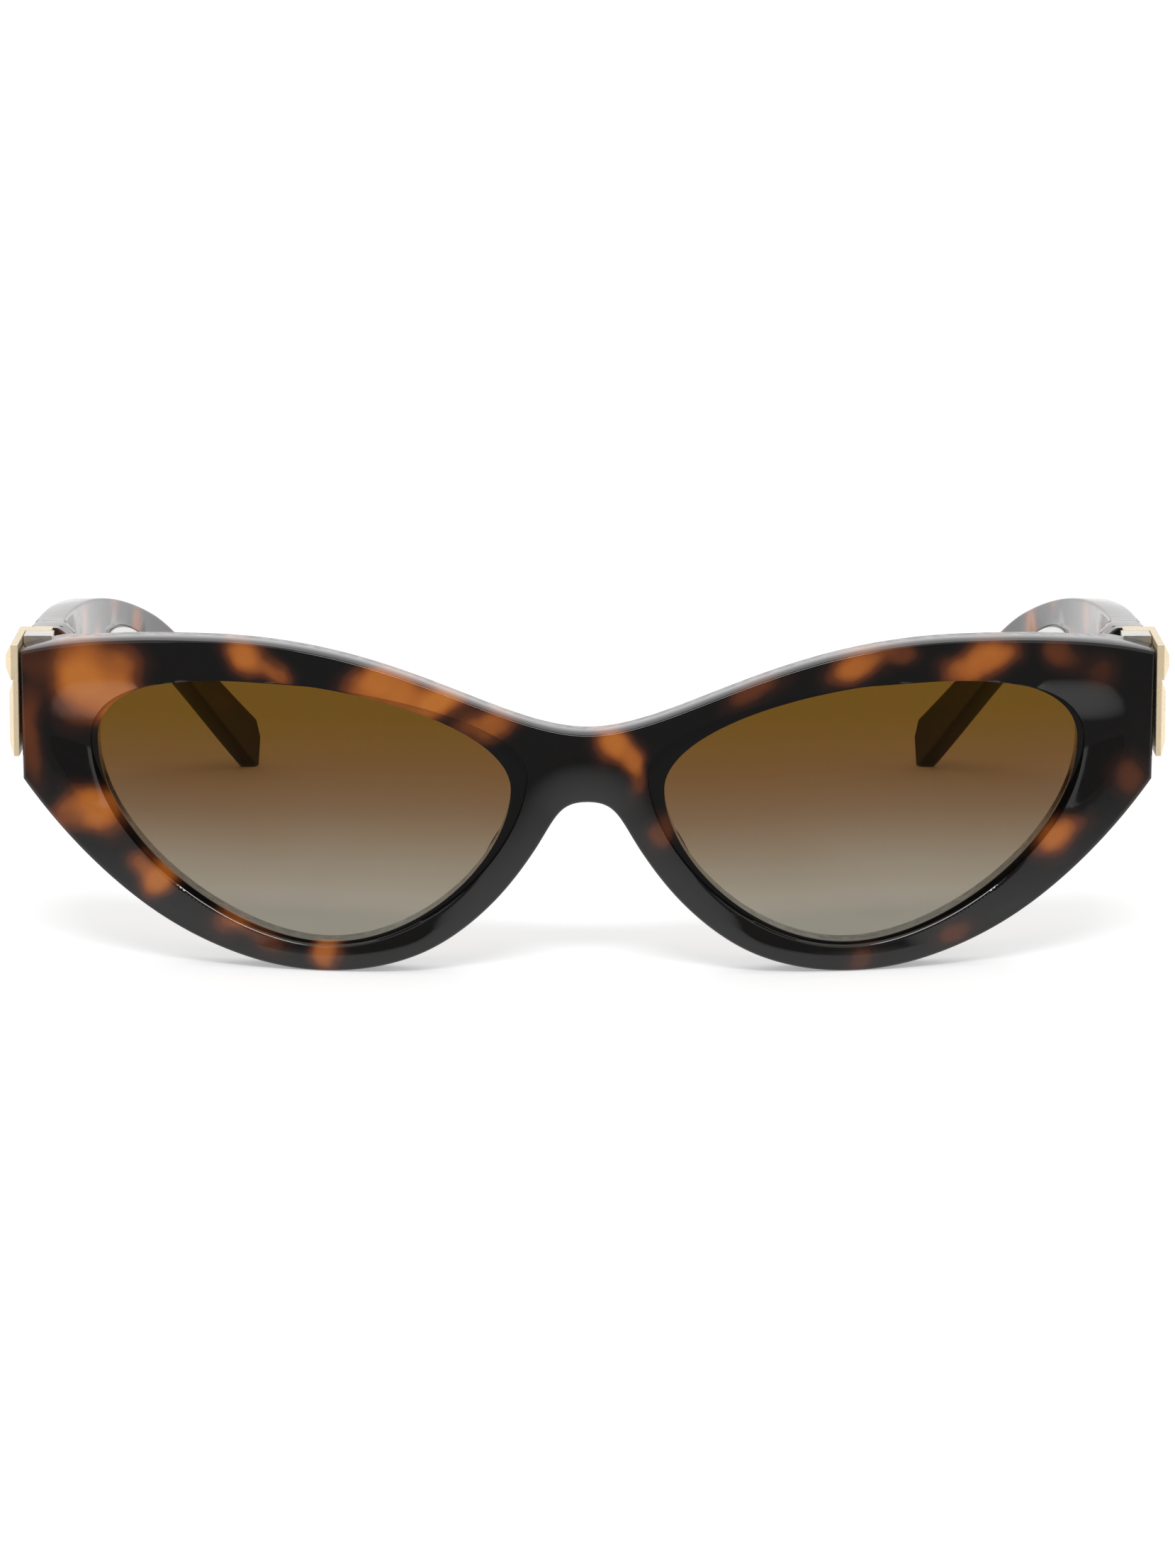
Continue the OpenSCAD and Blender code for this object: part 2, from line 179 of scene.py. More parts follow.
def nearest(points, loop):
    """Distance from each point to a closed loop, and the number of the nearest stretch."""
    ab = np.roll(loop, -1, 0) - loop
    size = (ab ** 2).sum(1)
    far, which = np.empty(len(points)), np.empty(len(points), int)
    for i in range(0, len(points), 400):
        p = points[i:i + 400, None]
        t = np.clip(((p - loop) * ab).sum(2) / size, 0, 1)
        d = np.linalg.norm(p - loop - t[..., None] * ab, axis=2)
        k = d.argmin(1)
        far[i:i + 400], which[i:i + 400] = d[np.arange(len(k)), k], k
    return far, which


def inside(points, loop):
    a, b = loop, np.roll(loop, -1, 0)
    found = np.zeros(len(points), bool)
    for (ax, ay), (bx, by) in zip(a, b):
        if ay != by:
            crosses = (points[:, 1] < ay) != (points[:, 1] < by)
            found ^= crosses & (points[:, 0] < ax + (points[:, 1] - ay) * (bx - ax) / (by - ay))
    return found


def signed(points, loop):
    """Distance outside a loop, negative inside it."""
    far, _ = nearest(points, loop)
    return np.where(inside(points, loop), -far, far)


def normals(loop):
    """Outward normals of an anticlockwise loop, one a stretch."""
    ab = np.roll(loop, -1, 0) - loop
    n = np.stack([ab[:, 1], -ab[:, 0]], 1)
    return n / np.linalg.norm(n, axis=1)[:, None]


def ring(loop, distance):
    """A loop's points moved outward by distance (inward if negative), without those that fold over."""
    n = normals(loop)
    m = n + np.roll(n, 1, 0)
    m /= np.maximum(np.linalg.norm(m, axis=1), 1e-9)[:, None]
    reach = np.clip(1 / np.maximum((m * n).sum(1), 0.3), 1, 1.6)[:, None]
    moved = loop + m * reach * distance
    far, _ = nearest(moved, loop)
    return moved[far > 0.97 * abs(distance)]


def grid(loop, step):
    lo, hi = loop.min(0), loop.max(0)
    x, z = np.meshgrid(np.arange(lo[0], hi[0], step), np.arange(lo[1], hi[1], step * 0.87))
    x[::2] += step / 2
    return np.stack([x.ravel(), z.ravel()], 1)


def plate(outline, holes, features, step, clear=0.07, creases=0):
    """Fills a region with triangles: its edges, rows of feature points, then a grid. The first few
    features, as many as creases says, keep the edges between their points.
    Returns the points, the triangles and the index loops of its edges."""
    loops, rows, start, kept = [], [], 0, []
    for loop in [outline] + holes:
        loops.append(list(range(start, start + len(loop))))
        rows.append(loop)
        start += len(loop)
    for extra, gap in [(f, clear) for f in features] + [(grid(outline, step), 0.55 * step)]:
        keep = inside(extra, outline)
        for hole in holes:
            keep &= ~inside(extra, hole)
        extra = extra[keep]
        taken = np.concatenate(rows)
        tree = kdtree.KDTree(len(taken))
        for i, p in enumerate(taken):
            tree.insert((p[0], p[1], 0), i)
        tree.balance()
        free = np.array([tree.find((p[0], p[1], 0))[2] > gap for p in extra], bool)
        if len(kept) < creases:
            number = np.full(len(keep), -1)
            number[np.flatnonzero(keep)[free]] = len(taken) + np.arange(free.sum())
            kept.append(number)
        rows.append(extra[free])
    points = np.concatenate(rows)
    edges = [(a, b) for loop in loops for a, b in zip(loop, loop[1:] + loop[:1])]
    edges += [(a, b) for row in kept for a, b in zip(row, np.roll(row, -1)) if min(a, b) >= 0]
    done = delaunay_2d_cdt([Vector(p) for p in points], edges, [], 0, 1e-7)
    back = [origin[0] for origin in done[3]]
    tris = np.array([[back[i] for i in f] for f in done[2]])
    centres = points[tris].mean(1)
    keep = inside(centres, outline)
    for hole in holes:
        keep &= ~inside(centres, hole)
    tris = tris[keep]
    a, b, c = (points[tris[:, i]] for i in range(3))
    turned = (b[:, 0] - a[:, 0]) * (c[:, 1] - a[:, 1]) < (b[:, 1] - a[:, 1]) * (c[:, 0] - a[:, 0])
    tris[turned] = tris[turned][:, ::-1]
    return points, tris, loops


# ---- shape functions ----

def smooth(t):
    t = np.clip(t, 0, 1)
    return t * t * (3 - 2 * t)


def rounding(d, r):
    """How far a rounded edge of radius r falls back at distance d from the edge."""
    e = np.clip(r - d, 0, r)
    return r - np.sqrt(np.maximum(r * r - e * e, 0))


def sag(x, r=WRAP_R):
    """Depth at x of a face curve of radius r about the wrap's centre."""
    return WRAP_R - np.sqrt(r * r - x * x)


def soft_max(a, b, k):
    h = np.clip(0.5 + 0.5 * (a - b) / k, 0, 1)
    return b + (a - b) * h + k * h * (1 - h)


def outer_x(y):
    bend = np.maximum(y - BEND_START, 0)
    return TEMPLE_X - BEND_R + np.sqrt(BEND_R ** 2 - bend ** 2)


def thick(y):
    return TEMPLE_T - (TEMPLE_T - TIP_T) * np.maximum(0, y - TAPER_START) / (TIP_Y - TAPER_START)


def inner_x(y):
    return outer_x(y) - thick(y)


# ---- mesh helpers ----

def to_frame(points):
    return (np.asarray(points, float) + (0, APEX_Y, 0)) * MM


def closed(points, tris, loops, near, far):
    """A closed solid from a flat region: near and far give the two faces as 3D points."""
    n = len(points)
    faces = [tuple(t) for t in tris] + [tuple(t[::-1] + n) for t in tris]
    for loop in loops:
        for a, b in zip(loop, loop[1:] + loop[:1]):
            faces.append((a, a + n, b + n, b))
    return np.concatenate([near, far]), faces


def tube_faces(rows, n):
    """Faces of a tube of rows with n points each, then closed by a point at its first and last end."""
    last = (rows - 1) * n
    faces = [(i * n + j, i * n + (j + 1) % n, (i + 1) * n + (j + 1) % n, (i + 1) * n + j)
             for i in range(rows - 1) for j in range(n)]
    faces += [(rows * n, (j + 1) % n, j) for j in range(n)]
    faces += [(rows * n + 1, last + j, last + (j + 1) % n) for j in range(n)]
    return faces


def sharpen(mesh, degrees):
    """Smooth shading, with creases at edges that turn more than degrees."""
    bm = bmesh.new()
    bm.from_mesh(mesh)
    bmesh.ops.remove_doubles(bm, verts=bm.verts, dist=1e-7)
    bmesh.ops.recalc_face_normals(bm, faces=bm.faces)
    for f in bm.faces:
        f.smooth = True
    for e in bm.edges:
        e.smooth = len(e.link_faces) < 2 or e.calc_face_angle(0) < math.radians(degrees)
    bm.to_mesh(mesh)
    bm.free()


def piece(name, points, faces, material, body, nodes, degrees=32):
    """Makes a piece from points in millimetres; edges that turn more than degrees stay sharp."""
    mesh = bpy.data.meshes.new(name)
    mesh.from_pydata(to_frame(points).tolist(), [], faces)
    sharpen(mesh, degrees)
    show(name, mesh, material, body, nodes)


def show(name, mesh, material, body, nodes):
    """Puts a mesh in the scene, on its body, in place of its CAD nodes."""
    obj = bpy.data.objects.new(name, mesh)
    bpy.context.scene.collection.objects.link(obj)
    mesh.materials.clear()
    mesh.materials.append(material)
    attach(obj, body)
    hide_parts(*nodes)


def sided(side, points):
    """Points drawn for the left side, on the left (+X) or mirrored to the right."""
    return np.asarray(points, float) * ((1, 1, 1) if side == "left" else (-1, 1, 1))


def arm(side):
    return side + "_arm"


def bevelled(bm, edges, width):
    bmesh.ops.bevel(bm, geom=edges, offset=width * MM, segments=2, profile=0.6,
                    affect="EDGES", clamp_overlap=True)


def turning(bm, degrees):
    """The edges of bm that turn more than degrees."""
    return [e for e in bm.edges if len(e.link_faces) == 2 and e.calc_face_angle(0) > math.radians(degrees)]


def softened(name, node, width, material, body):
    """A copy of a CAD node's mesh with its sharp edges rounded."""
    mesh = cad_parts[node].data.copy()
    bm = bmesh.new()
    bm.from_mesh(mesh)
    bmesh.ops.remove_doubles(bm, verts=bm.verts, dist=1e-6)
    bmesh.ops.dissolve_limit(bm, angle_limit=math.radians(1.5), verts=bm.verts, edges=bm.edges)
    sharp = turning(bm, 32)
    bevelled(bm, sharp, width)
    bmesh.ops.triangulate(bm, faces=[f for f in bm.faces if len(f.verts) > 4])
    bm.to_mesh(mesh)
    bm.free()
    sharpen(mesh, 24)
    show(name, mesh, material, body, [node])


# ---- material helpers ----

class Graph:
    """A material's node tree with short calls for the nodes used here."""

    def __init__(self, name):
        self.material = bpy.data.materials.new(name)
        self.material.use_nodes = True
        self.tree = self.material.node_tree
        self.tree.nodes.clear()
        self.output = self.tree.nodes.new("ShaderNodeOutputMaterial")

    def link(self, out, to):
        self.tree.links.new(out, to)

    def node(self, kind, **settings):
        made = self.tree.nodes.new(kind)
        for key, value in settings.items():
            setattr(made, key, value)
        return made

    def feed(self, socket, value):
        if isinstance(value, bpy.types.NodeSocket):
            self.link(value, socket)
        else:
            socket.default_value = value

    def math(self, operation, a, b=0.0, clamp=False):
        made = self.node("ShaderNodeMath", operation=operation, use_clamp=clamp)
        self.feed(made.inputs[0], a)
        self.feed(made.inputs[1], b)
        return made.outputs[0]

    def vector(self, operation, a, b=(0, 0, 0)):
        made = self.node("ShaderNodeVectorMath", operation=operation)
        self.feed(made.inputs[0], a)
        self.feed(made.inputs[1], b)
        return made.outputs["Value"] if operation == "LENGTH" else made.outputs[0]

    def noise(self, where, scale, detail=3, rough=0.5, colour=False):
        made = self.node("ShaderNodeTexNoise")
        self.feed(made.inputs["Vector"], where)
        made.inputs["Scale"].default_value = scale
        made.inputs["Detail"].default_value = detail
        made.inputs["Roughness"].default_value = rough
        return made.outputs["Color" if colour else "Fac"]

    def spread(self, value, low, high, to_low=0.0, to_high=1.0, soft=True):
        made = self.node("ShaderNodeMapRange", interpolation_type="SMOOTHSTEP" if soft else "LINEAR")
        self.feed(made.inputs["Value"], value)
        for key, number in zip(("From Min", "From Max", "To Min", "To Max"), (low, high, to_low, to_high)):
            made.inputs[key].default_value = number
        return made.outputs[0]

    def ramp(self, value, stops):
        made = self.node("ShaderNodeValToRGB")
        self.feed(made.inputs[0], value)
        ramp = made.color_ramp
        while len(ramp.elements) < len(stops):
            ramp.elements.new(0.5)
        for element, (place, colour) in zip(ramp.elements, stops):
            element.position = place
            element.color = (*colour, 1)
        return made.outputs[0]

    def millimetres(self):
        """The place on the object in millimetres, in its own resting frame."""
        where = self.node("ShaderNodeTexCoord").outputs["Object"]
        return self.vector("MULTIPLY", where, (1 / MM, 1 / MM, 1 / MM))

    def bump(self, height, strength, distance):
        made = self.node("ShaderNodeBump")
        made.inputs["Strength"].default_value = strength
        made.inputs["Distance"].default_value = distance * MM
        self.feed(made.inputs["Height"], height)
        return made.outputs[0]

    def principled(self, colour, rough, normal=None, **constants):
        made = self.node("ShaderNodeBsdfPrincipled")
        self.feed(made.inputs["Base Color"], colour)
        self.feed(made.inputs["Roughness"], rough)
        if normal is not None:
            self.link(normal, made.inputs["Normal"])
        for key, value in constants.items():
            made.inputs[key.replace("_", " ")].default_value = value
        return made.outputs[0]

    def finish(self, shader):
        self.link(shader, self.output.inputs["Surface"])
        return self.material


DARK = (0.0032, 0.0026, 0.0024)
UMBER = (0.016, 0.0058, 0.0034)
RUSSET = (0.085, 0.022, 0.0065)
AMBER = (0.29, 0.083, 0.0135)
HONEY = (0.36, 0.115, 0.018)


def tortoise(name, patches, flat_axis):
    """Tortoiseshell acetate: soft amber patches in a near-black ground, under a high polish.
    patches are (place, place, radius, radius, lean in degrees, strength), across the two axes
    other than flat_axis."""
    g = Graph(name)
    where = g.millimetres()
    warp = g.vector("SUBTRACT", g.noise(where, 0.11, 1, 0.4, True), (0.5, 0.5, 0.5))
    fine = g.vector("SUBTRACT", g.noise(where, 0.45, 1, 0.4, True), (0.5, 0.5, 0.5))
    moved = g.vector("ADD", where, g.vector("MULTIPLY", warp, (4, 4, 4)))
    moved = g.vector("ADD", moved, g.vector("MULTIPLY", fine, (0.8, 0.8, 0.8)))
    gap = 1.0
    for u, v, ru, rv, lean, strength in patches:
        near = g.node("ShaderNodeMapping", vector_type="TEXTURE")
        g.link(moved, near.inputs["Vector"])
        if flat_axis == "y":
            place, turn, size = (u, 0, v), (0, -math.radians(lean), 0), (ru, 1e5, rv)
        else:
            place, turn, size = (0, u, v), (math.radians(lean), 0, 0), (1e5, ru, rv)
        near.inputs["Location"].default_value = place
        near.inputs["Rotation"].default_value = turn
        near.inputs["Scale"].default_value = size
        glow = g.spread(g.vector("LENGTH", near.outputs[0]), 1.45, 0.2, 0, strength)
        gap = g.math("MULTIPLY", gap, g.math("SUBTRACT", 1.0, glow))
    mask = g.math("SUBTRACT", 1.0, gap)
    cloud = g.spread(g.noise(where, 0.18, 1, 0.4), 0.3, 0.7, 0.92, 1.04)
    tone = g.math("MULTIPLY", mask, cloud, True)
    colour = g.ramp(tone, [(0.0, DARK), (0.22, UMBER), (0.5, RUSSET), (0.82, AMBER), (1.0, HONEY)])
    rough = g.spread(g.noise(where, 0.8, 3), 0.3, 0.7, 0.06, 0.12)
    bump = g.bump(g.noise(where, 0.35, 2), 0.25, 0.02)
    return g.finish(g.principled(colour, rough, bump, IOR=1.49))


def metal(name, colour, rough, share=1.0):
    """Polished metal with faint brushing and slow changes of tone; share is how metallic it is."""
    g = Graph(name)
    where = g.millimetres()
    streak = (1, 2.5, 1)
    brushed = g.noise(g.vector("MULTIPLY", where, streak), 0.7, 2, 0.5)
    tone = g.spread(g.noise(where, 0.25, 1), 0.3, 0.7)
    low = tuple(0.96 * c for c in colour)
    mixed = g.ramp(tone, [(0.0, low), (1.0, colour)])
    polish = g.spread(brushed, 0.3, 0.7, rough * 0.88, rough * 1.12)
    return g.finish(g.principled(mixed, polish, g.bump(brushed, 0.2, 0.003), Metallic=share))


def tinted_lens():
    """See-through lens, brown above and fading to grey below. Both faces tint it, so each has the
    square root of the colour."""
    g = Graph("tinted_lens")
    where = g.millimetres()
    height = g.node("ShaderNodeSeparateXYZ")
    g.link(where, height.inputs[0])
    place = g.spread(height.outputs[2], LENS_LOW, LENS_HIGH, 0, 1, False)
    place = g.math("ADD", place, g.spread(g.noise(where, 0.05, 1), 0.3, 0.7, -0.012, 0.012))
    stops = [
        (0.05, (0.33, 0.312, 0.262)), (0.28, (0.24, 0.20, 0.147)), (0.5, (0.165, 0.102, 0.056)),
        (0.66, (0.143, 0.073, 0.027)), (0.86, (0.128, 0.066, 0.0108)),
    ]
    tint = g.ramp(place, [(p, tuple(math.sqrt(c) for c in rgb)) for p, rgb in stops])
    clear = g.node("ShaderNodeBsdfTransparent")
    g.link(tint, clear.inputs["Color"])
    gloss = g.node("ShaderNodeBsdfGlossy")
    g.feed(gloss.inputs["Roughness"], g.spread(g.noise(where, 0.4, 2), 0.3, 0.7, 0.02, 0.05))
    gloss.inputs["Color"].default_value = (0.92, 0.92, 0.92, 1)
    edge = g.node("ShaderNodeFresnel")
    edge.inputs["IOR"].default_value = 1.18
    mix = g.node("ShaderNodeMixShader")
    g.link(edge.outputs[0], mix.inputs[0])
    g.link(clear.outputs[0], mix.inputs[1])
    g.link(gloss.outputs[0], mix.inputs[2])
    return g.finish(mix.outputs[0])


# Amber patches of the front as (x, z, radius, radius, lean, strength), seen from the front
FRONT_PATCHES = [
    (-62.5, 36.4, 5, 6, 0, 1.0), (-58.5, 33.6, 4.2, 3.6, 20, 0.9), (-56.5, 37.8, 3, 2, -10, 0.5),
    (-42.5, 39.6, 3, 3.4, 10, 0.9), (-38.5, 37.6, 2.6, 2, -30, 0.6),
    (-26, 36.6, 4.6, 3, 25, 0.9), (-22.6, 35.4, 3.4, 2.6, 24, 0.85),
    (-18.6, 34, 5, 2.8, 24, 1.0), (-12.6, 31.4, 4.4, 2.2, 20, 0.75),
    (-69.4, 28, 2.2, 8, 0, 0.5), (-61.3, 19.2, 4.6, 3, -25, 0.95), (-65, 17.6, 3, 2.4, 10, 0.6),
    (-53, 11.2, 3.2, 2.6, 30, 0.9), (-55.6, 13.4, 2.2, 2, 0, 0.6), (-44.2, 6, 2.4, 3.4, -55, 0.62),
    (-31.7, 2, 2.5, 3.6, 0, 0.85), (-40.5, 3.8, 4.2, 2, -30, 0.42), (-69.5, 38, 2.5, 3, 0, 0.3),
    (2.8, 29, 2.4, 2.4, -35, 0.95), (5, 27, 2, 2.4, -20, 0.75), (5.8, 24.4, 1.6, 2.6, 10, 0.5),
    (9, 17.6, 2.4, 2.2, 20, 0.5), (20.5, 35.4, 4.2, 1.8, 25, 0.5), (33, 38, 4.2, 2.8, 25, 0.85),
    (38.5, 39.2, 3, 1.8, 0, 0.5), (50, 38.8, 4, 3, 20, 0.85), (46, 37.6, 3, 2, 20, 0.6),
    (59, 39.2, 2.6, 2.6, 0, 0.45), (63.5, 37, 2.4, 2.6, 0, 0.3), (67.5, 22.6, 3, 3, 0, 0.4),
    (59, 15.8, 3.8, 2.6, 30, 0.85), (45.4, 4.4, 2.6, 2.2, 0, 0.42), (33.2, 2.2, 2, 2.6, 0, 0.35),
]
# Amber patches of a temple as (y, z, radius, radius, lean, strength)
TEMPLE_PATCHES = [
    (34, 36, 3.5, 6, 20, 0.45), (45, 33, 4, 7, 0, 0.7), (57, 30, 3.4, 8, -8, 0.85),
    (70, 34, 4.5, 4, 10, 0.75), (79, 28, 5, 3.4, 20, 0.9), (92, 33, 4, 3, 0, 0.65),
    (104, 27, 4.4, 5, -20, 0.85), (117, 22, 4, 5, 30, 0.6), (127, 19, 5, 2, -30, 0.4),
    (139, 12, 4, 1.6, -30, 0.35), (30, 27, 3, 3.4, 0, 0.6),
]


def temple_patches(shift):
    """The temple's patches in the frame's own y, moved along it."""
    return [(y + APEX_Y + shift, *rest) for y, *rest in TEMPLE_PATCHES]


# ---- front ----

SCOOP_EDGE = [(57, 36.4), (62, 36.2), (65.2, 34.7), (66.8, 32.3), (67.3, 29.8), (67, 27.4), (65.9, 25),
              (63.4, 21.4), (59, 17.2)]
SCOOP_BACK = (50, 26)
SCOOP_D = 1.3
SCOOP_TOP = 36.4
SCOOP_LOW = 18
LEDGE_D = (1.5, 1.85)
LEDGE_MIN_W = 0.16
STEP_W = 0.14
CHAMFER_W = 0.18
CHAMFER_D = 0.14
FLARE_W = 1.7
FLARE_D = 1.2
BEVEL_W = 1.6
BEVEL_D = 0.8
NOSE_SLOPE_W = 7
NOSE_SLOPE_D = 1.9


def scoop_loop():
    """The outer boundary of the hollow at an opening's outer end, closed through the opening."""
    pts = np.array(SCOOP_EDGE)
    ends = np.concatenate([2 * pts[:1] - pts[1:2], pts, 2 * pts[-1:] - pts[-2:-1]])
    rows = []
    for i in range(len(pts) - 1):
        a, b, c, d = ends[i:i + 4]
        rows.append(cubic(b, b + (c - a) / 6, c - (d - b) / 6, c))
    back = [straight(pts[-1], SCOOP_BACK, 2), straight(SCOOP_BACK, pts[0], 2)]
    return np.concatenate(rows + back)[::-1]


def rim_depth(points, above):
    """Depth below the face round the left opening, where the surface is already down by above:
    the ledge in front of the lens, its small chamfer and the outer hollow."""
    z = points[:, 1]
    step = signed(points, opening(*RIM_STEP))
    scoop = signed(points, scoop_loop())
    inner = np.maximum(step, 0)
    share = np.where(scoop < 0, -scoop / np.maximum(inner - scoop, 1e-6), 0)
    fade = smooth((SCOOP_TOP - z) / 6.5) * smooth((z - SCOOP_LOW) / 10)
    hollow = SCOOP_D * (1 - (1 - share) ** 2) * fade
    chamfer = CHAMFER_D * np.clip(1 - inner / CHAMFER_W, 0, 1) * smooth((14 - z) / 5)
    edge = above + hollow + chamfer
    ledge = np.clip(edge + 0.2, *LEDGE_D)
    wide = smooth((signed(points, opening()) - step - LEDGE_MIN_W) / LEDGE_MIN_W)
    return edge + (ledge - edge) * np.clip(-step / STEP_W, 0, 1) * wide


def lower_slope(points, outline, edge):
    """The face falls back towards its lower edges: a soft curve over the nose, a flat bevel further out."""
    x, z = abs(points[:, 0]), points[:, 1]
    under = outline[(abs(outline[:, 0]) < 33) & (outline[:, 1] < NOSE_ARCH_Z + 0.1)]
    nose = nearest(points, under)[0]
    soft = NOSE_SLOPE_D * np.clip(1 - nose / NOSE_SLOPE_W, 0, 1) ** 2
    flat = BEVEL_D * np.clip(1 - edge / BEVEL_W, 0, 1) * smooth((56 - x) / 14) * (z < 20)
    return soft + (flat - soft) * smooth((x - 12) / 9)


def front_rows(outline, left):
    """Rows of points that follow the front's edges and steps: first those whose edges are kept."""
    flip = np.array([-1, 1])
    features = [ring(outline, -d) for d in (0.08, 0.2, 0.36, 0.6, 0.95, 1.4, 1.9, 2.15)]
    step_edge = opening(*RIM_STEP)
    bounds = [step_edge] + [ring(step_edge, d) for d in (-STEP_W, CHAMFER_W)]
    creases = [row * side for side in (1, flip) for row in bounds]
    around = [ring(step_edge, d) for d in (0.4, 0.8)]
    around += [ring(left, d) for d in (0.35, 0.7, 1.1)]
    scoop = [ring(scoop_loop(), d) for d in (0, -0.25, -0.6, -1.1, 0.25)]
    around += [row[(signed(row, step_edge) > 0.3) & (row[:, 1] > SCOOP_LOW + 0.5)] for row in scoop]
    for row in around:
        features += [row, row * flip]
    return creases, features


def front_frame_mesh():
    outline = front_outline()
    left = opening()
    right = (left * (-1, 1))[::-1]
    creases, features = front_rows(outline, left)
    points, tris, loops = plate(outline, [left, right], creases + features, 0.75, creases=len(creases))
    x, z = points.T
    edge, which = nearest(points, outline)
    facing = normals(outline)[which][:, 1]
    hole = np.minimum(nearest(points, left)[0], nearest(points, right)[0])
    depth = rim_depth(np.stack([abs(x), z], 1), lower_slope(points, outline, edge))
    front = sag(x) + depth + rounding(edge, FRONT_ROUND)
    end = np.minimum(END_START[1] + (abs(x) - END_START[0]) * END_SLOPE, END_BACK)
    back = soft_max(sag(x, BACK_R), end, 1.2)
    back_round = np.where(facing > 0.2, 0.25, 0.9)
    flare = FLARE_D * np.clip(1 - hole / FLARE_W, 0, 1) ** 2
    back = np.minimum(back, END_BACK) - rounding(edge, back_round) - flare
    near = np.stack([x, front, z], 1)
    far = np.stack([x, back, z], 1)
    return closed(points, tris, loops, near, far)


def make_front():
    material = tortoise("acetate_front", FRONT_PATCHES, "y")
    points, faces = front_frame_mesh()
    piece("front_frame_shell", points, faces, material, "front", ["front_frame"], 45)
    return material


def make_lens(side, material):
    outline = opening(*[GROOVE_D] * 4, step=0.8)
    features = [ring(outline, -d) for d in (0.1, 0.25, 0.5)]
    points, tris, loops = plate(outline, [], features, 2)
    x, z = points.T
    edge, _ = nearest(points, outline)
    crown = (z - 20) ** 2 / (2 * WRAP_R) - 0.3
    front = sag(x, WRAP_R - LENS_INSET) + crown + rounding(edge, 0.25)
    back = sag(x, WRAP_R - LENS_INSET - LENS_T) + crown - rounding(edge, 0.25)
    points, faces = closed(points, tris, loops, np.stack([x, front, z], 1), np.stack([x, back, z], 1))
    piece(side + "_lens", sided(side, points), faces, material, "front", ["lens_" + side], 50)


PAD_PATH = [(9.0, 6.2, 17.6, 0.9), (9.3, 7.0, 16.6, 1.7), (9.9, 7.8, 15, 2.05), (10.7, 8.2, 13.2, 2.15),
            (11.9, 7.9, 11.4, 2.0), (13.2, 7.3, 9.9, 1.7), (14.2, 6.6, 9.0, 0.9)]


def make_nose_pad(side, material):
    """A soft oval pad along the back of the rim, swept through a few balls."""
    path = np.array(PAD_PATH)
    dense = np.concatenate([
        cubic(path[i], path[i] + (path[i + 1] - path[max(i - 1, 0)]) / 6,
              path[i + 1] - (path[min(i + 2, len(path) - 1)] - path[i]) / 6, path[i + 1], 0.35)
        for i in range(len(path) - 1)] + [path[-1:]])
    sides = 24
    rows = []
    for i, (x, y, z, r) in enumerate(dense):
        along = dense[min(i + 1, len(dense) - 1), :3] - dense[max(i - 1, 0), :3]
        along /= np.linalg.norm(along)
        u = np.cross(along, (0, 1, 0))
        u /= np.linalg.norm(u)
        v = np.cross(u, along)
        t = np.arange(sides) * 2 * math.pi / sides
        rows.append(np.array([x, y, z]) + r * (np.cos(t)[:, None] * u + np.sin(t)[:, None] * v))
    points = np.concatenate(rows + [[dense[0, :3]], [dense[-1, :3]]])
    faces = tube_faces(len(rows), sides)
    piece(side + "_nose_pad", sided(side, points), faces, material, "front",
          ["nose_pad_" + side], 60)


# ---- temples ----

def boss(y, z):
    """How far the temple's inner face stands in round the hinge, 0 to 1."""
    along = 1 - smooth((y - 33.5) / 8)
    up = np.clip((TEMPLE_TOP - z) / 1.7, 0, 1)
    down = np.clip((z - 25.4) / 1.8, 0, 1)
    return along * up * down


def make_temple(side, material):
    outline = temple_side()
    features = [ring(outline, -d) for d in (0.08, 0.2, 0.38, 0.6, 1.0)]
    features += [ring(ellipse(), d) for d in (-0.1, 0.02, 0.12, 0.22, 0.34)]
    heights = np.linspace(24, 39, 40)
    features += [np.stack([np.full(40, y), heights], 1) for y in (28.9, 31, 33.5, 35, 37, 39, 41)]
    points, tris, loops = plate(outline, [], features, 1.6)
    y, z = points.T
    edge, _ = nearest(points, outline)
    groove = 1 - smooth((signed(points, ellipse()) - 0.14) / 0.14)
    inner = inner_x(y) - (inner_x(TEMPLE_Y) - BOSS_IN) * boss(y, z)
    near = np.stack([inner + rounding(edge, 0.4) + 0.3 * groove, y, z], 1)
    far = np.stack([outer_x(y) - rounding(edge, TEMPLE_ROUND), y, z], 1)
    points, faces = closed(points, tris, loops, near, far)
    piece(side + "_temple", sided(side, points), faces, material, arm(side),
          ["temple_" + side], 50)


def make_inlay(side, material):
    outline = ellipse()
    features = [ring(outline, -d) for d in (0.06, 0.14, 0.25, 0.5)]
    points, tris, loops = plate(outline, [], features, 0.9, 0.04)
    y, z = points.T
    edge, _ = nearest(points, outline)
    inner = inner_x(y) - 0.1 - 0.12 * smooth(edge / 2.2) + rounding(edge, 0.22)
    near = np.stack([inner, y, z], 1)
    far = np.stack([inner_x(y) + 0.6, y, z], 1)
    points, faces = closed(points, tris, loops, near, far)
    piece(side + "_inlay", sided(side, points), faces, material, arm(side),
          ["inlay_" + side], 50)


# ---- metalwork ----

def prism(bm, plan, z0, z1):
    """Adds an upright prism to bm and returns its faces: bottom, top, then its sides."""
    low = [bm.verts.new(p) for p in to_frame([(x, y, z0) for x, y in plan])]
    high = [bm.verts.new(p) for p in to_frame([(x, y, z1) for x, y in plan])]
    faces = [bm.faces.new(low[::-1]), bm.faces.new(high)]
    n = len(plan)
    return faces + [bm.faces.new((low[i], low[(i + 1) % n], high[(i + 1) % n], high[i])) for i in range(n)]


